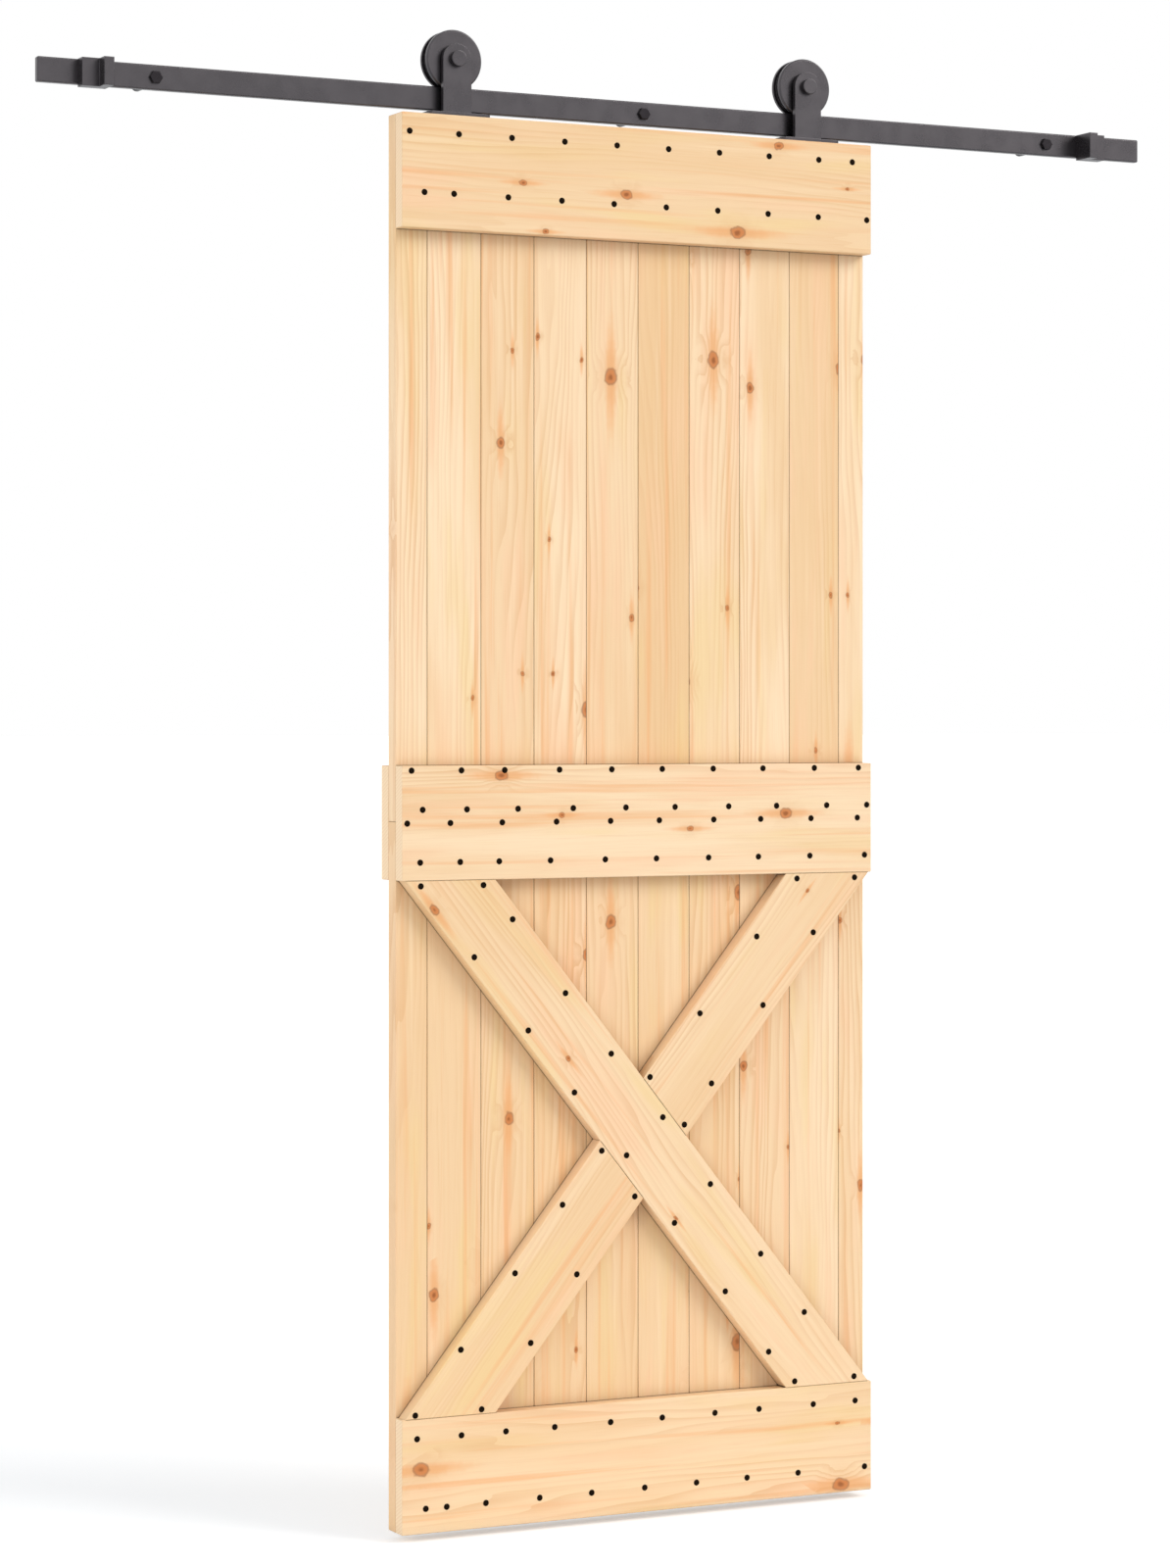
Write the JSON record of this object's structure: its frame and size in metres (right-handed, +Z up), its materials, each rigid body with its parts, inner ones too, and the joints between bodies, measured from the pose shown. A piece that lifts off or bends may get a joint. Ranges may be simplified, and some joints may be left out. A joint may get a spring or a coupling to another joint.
{
  "type": "sliding door",
  "caption": "Plank sliding door with a diagonal cross below the mid rail, hung by grooved wheels from a flat steel track on a wall.",
  "frame": {"origin": "centre of the middle spacer's wall face, at the height of the track's axis", "axes": "+X along the track to the right as seen from the room, +Y towards the wall, +Z up"},
  "size_m": [1.876, 0.121, 2.2328],
  "materials": {
    "panel_pine": "bare planed pine",
    "rail_pine": "bare planed pine",
    "brace_pine": "bare planed pine",
    "dark_steel": "matt powder coat"
  },
  "bodies": {
    "fixed_track": {"track": "dark_steel", "left_spacer": "dark_steel", "left_wall_bolt": "dark_steel", "middle_spacer": "dark_steel", "middle_wall_bolt": "dark_steel", "right_spacer": "dark_steel", "right_wall_bolt": "dark_steel", "left_stop": "dark_steel", "right_stop": "dark_steel"},
    "door": {"upper_board_01": "panel_pine", "upper_board_02": "panel_pine", "upper_board_03": "panel_pine", "upper_board_04": "panel_pine", "upper_board_05": "panel_pine", "upper_board_06": "panel_pine", "upper_board_07": "panel_pine", "upper_board_08": "panel_pine", "upper_board_09": "panel_pine", "upper_board_10": "panel_pine", "lower_board_01": "panel_pine", "lower_board_02": "panel_pine", "lower_board_03": "panel_pine", "lower_board_04": "panel_pine", "lower_board_05": "panel_pine", "lower_board_06": "panel_pine", "lower_board_07": "panel_pine", "lower_board_08": "panel_pine", "lower_board_09": "panel_pine", "lower_board_10": "panel_pine", "header": "rail_pine", "mid_rail": "rail_pine", "bottom_rail": "rail_pine", "back_mid_rail": "rail_pine", "brace_whole": "brace_pine", "brace_upper": "brace_pine", "brace_lower": "brace_pine", "left_hanger": "dark_steel", "right_hanger": "dark_steel", "left_axle_bolt": "dark_steel", "right_axle_bolt": "dark_steel"},
    "left_roller": {"left_wheel": "dark_steel"},
    "right_roller": {"right_wheel": "dark_steel"}
  },
  "joints": [
    {"name": "door_slide", "type": "slide", "parent": "fixed_track", "child": "door", "axis": [1, 0, 0], "range_m": [-0.492, 0.453]},
    {"name": "left_wheel_turn", "type": "hinge", "parent": "door", "child": "left_roller", "pos_m": [-0.321, -0.074, 0.0583], "axis": [0, 1, 0], "range_deg": [-710, 655]},
    {"name": "right_wheel_turn", "type": "hinge", "parent": "door", "child": "right_roller", "pos_m": [0.279, -0.074, 0.0583], "axis": [0, 1, 0], "range_deg": [-710, 655]}
  ],
  "couplings": [
    {"joint": "left_wheel_turn", "follows": "door_slide", "rad_per_m": 24.814},
    {"joint": "right_wheel_turn", "follows": "door_slide", "rad_per_m": 24.814}
  ]
}
